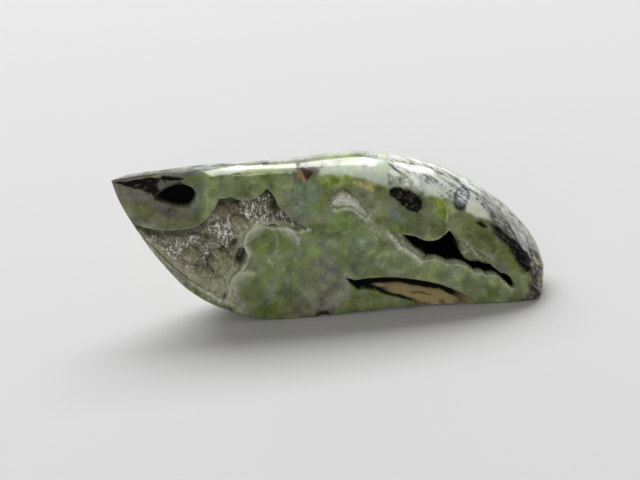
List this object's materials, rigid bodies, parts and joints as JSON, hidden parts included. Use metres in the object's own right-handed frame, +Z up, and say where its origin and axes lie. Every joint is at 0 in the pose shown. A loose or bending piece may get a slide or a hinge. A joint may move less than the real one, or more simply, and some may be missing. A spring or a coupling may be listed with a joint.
{
  "type": "wavellite cabochon",
  "caption": "Polished freeform wavellite stone that stands on its lower edge, pointed at one end and rounded at the other, with open crystal-lined hollows in its front face.",
  "frame": {"origin": "middle of the stone's box, on the surface that it stands on", "axes": "+X from the pointed tip to the round nose, -Y is the side the front face looks to, +Z up"},
  "size_m": [0.0458, 0.0115, 0.0162],
  "materials": {
    "polished_stone": "polished, mottled green and grey with black and white matrix",
    "crystal_crust": "fine sparkling crystals"
  },
  "bodies": {
    "root": {"stone": "polished_stone", "left_crystals": "crystal_crust", "middle_crystals": "crystal_crust"}
  },
  "joints": []
}
